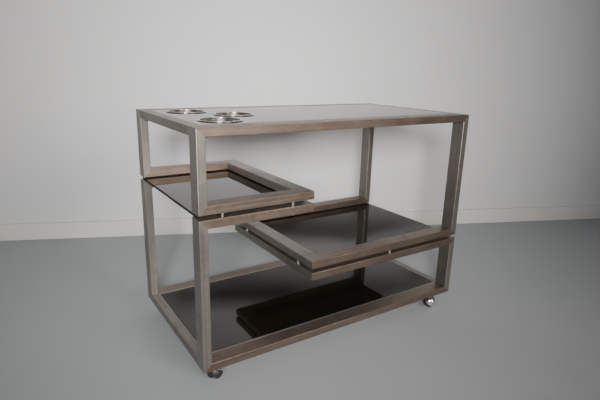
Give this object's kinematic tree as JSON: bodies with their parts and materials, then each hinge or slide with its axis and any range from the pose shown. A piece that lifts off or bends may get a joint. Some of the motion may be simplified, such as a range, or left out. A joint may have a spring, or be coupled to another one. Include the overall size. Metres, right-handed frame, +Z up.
{
  "type": "bar cart",
  "caption": "Bar cart of rectangular steel tube with a smoked glass top and base, offset glass shelves, round bottle holders in the top and swivelling ball casters.",
  "frame": {"origin": "middle of the cart's footprint, on the floor that its wheels stand on", "axes": "+X along the cart towards the low shelf, -Y towards the front, +Z up; the bottle holders are at -X"},
  "size_m": [0.815, 0.4412, 0.594],
  "materials": {
    "frame_steel": "satin, grained along each tube",
    "smoked_glass": "gloss",
    "ledge_steel": "satin",
    "pad_rubber": "matte",
    "seal_rubber": "matte",
    "ring_chrome": "polished",
    "fastener_steel": "satin",
    "socket_steel": "satin",
    "caster_chrome": "polished",
    "caster_pin_steel": "satin",
    "wheel_rubber": "satin"
  },
  "bodies": {
    "frame": {"base_front_rail": "frame_steel", "base_rear_rail": "frame_steel", "base_left_rail": "frame_steel", "base_right_rail": "frame_steel", "lower_post_front_left": "frame_steel", "lower_post_rear_left": "frame_steel", "lower_post_front_right": "frame_steel", "lower_post_rear_right": "frame_steel", "lower_left_arm_front": "frame_steel", "lower_left_arm_rear": "frame_steel", "lower_left_arm_end": "frame_steel", "lower_right_arm_front": "frame_steel", "lower_right_arm_rear": "frame_steel", "lower_right_arm_end": "frame_steel", "top_front_rail": "frame_steel", "top_rear_rail": "frame_steel", "top_left_rail": "frame_steel", "top_right_rail": "frame_steel", "upper_post_front_left": "frame_steel", "upper_post_rear_left": "frame_steel", "upper_post_front_right": "frame_steel", "upper_post_rear_right": "frame_steel", "upper_left_arm_front": "frame_steel", "upper_left_arm_rear": "frame_steel", "upper_left_arm_end": "frame_steel", "upper_right_arm_front": "frame_steel", "upper_right_arm_rear": "frame_steel", "upper_right_arm_end": "frame_steel", "top_glass": "smoked_glass", "base_glass": "smoked_glass", "left_shelf_glass": "smoked_glass", "right_shelf_glass": "smoked_glass", "top_glass_ledges": "ledge_steel", "base_glass_ledges": "ledge_steel", "shelf_glass_pads": "pad_rubber", "bottle_ring_front": "ring_chrome", "bottle_ring_rear": "ring_chrome", "bottle_ring_middle": "ring_chrome", "bottle_ring_seals": "seal_rubber", "spacer_sleeves": "fastener_steel", "spacer_screws": "fastener_steel", "caster_sockets": "socket_steel"},
    "swivel_front_left": {"caster_front_left_stem": "caster_pin_steel", "caster_front_left_hood": "caster_chrome", "caster_front_left_axle": "caster_pin_steel"},
    "wheel_front_left": {"caster_front_left_wheel": "wheel_rubber"},
    "swivel_rear_left": {"caster_rear_left_stem": "caster_pin_steel", "caster_rear_left_hood": "caster_chrome", "caster_rear_left_axle": "caster_pin_steel"},
    "wheel_rear_left": {"caster_rear_left_wheel": "wheel_rubber"},
    "swivel_front_right": {"caster_front_right_stem": "caster_pin_steel", "caster_front_right_hood": "caster_chrome", "caster_front_right_axle": "caster_pin_steel"},
    "wheel_front_right": {"caster_front_right_wheel": "wheel_rubber"},
    "swivel_rear_right": {"caster_rear_right_stem": "caster_pin_steel", "caster_rear_right_hood": "caster_chrome", "caster_rear_right_axle": "caster_pin_steel"},
    "wheel_rear_right": {"caster_rear_right_wheel": "wheel_rubber"}
  },
  "joints": [
    {"name": "swivel_front_left_turn", "type": "hinge", "parent": "frame", "child": "swivel_front_left", "pos_m": [-0.3565, -0.1975, 0.042], "axis": [0, 0, 1], "continuous": true},
    {"name": "wheel_front_left_roll", "type": "hinge", "parent": "swivel_front_left", "child": "wheel_front_left", "pos_m": [-0.36961, -0.18832, 0.019], "axis": [-0.4056, -0.5792, -0.7071], "continuous": true},
    {"name": "swivel_rear_left_turn", "type": "hinge", "parent": "frame", "child": "swivel_rear_left", "pos_m": [-0.3565, 0.1975, 0.042], "axis": [0, 0, 1], "continuous": true},
    {"name": "wheel_rear_left_roll", "type": "hinge", "parent": "swivel_rear_left", "child": "wheel_rear_left", "pos_m": [-0.36961, 0.18832, 0.019], "axis": [-0.4056, 0.5792, -0.7071], "continuous": true},
    {"name": "swivel_front_right_turn", "type": "hinge", "parent": "frame", "child": "swivel_front_right", "pos_m": [0.3565, -0.1975, 0.042], "axis": [0, 0, 1], "continuous": true},
    {"name": "wheel_front_right_roll", "type": "hinge", "parent": "swivel_front_right", "child": "wheel_front_right", "pos_m": [0.34105, -0.20164, 0.019], "axis": [-0.183, 0.683, -0.7071], "continuous": true},
    {"name": "swivel_rear_right_turn", "type": "hinge", "parent": "frame", "child": "swivel_rear_right", "pos_m": [0.3565, 0.1975, 0.042], "axis": [0, 0, 1], "continuous": true},
    {"name": "wheel_rear_right_roll", "type": "hinge", "parent": "swivel_rear_right", "child": "wheel_rear_right", "pos_m": [0.34105, 0.20164, 0.019], "axis": [-0.183, -0.683, -0.7071], "continuous": true}
  ]
}
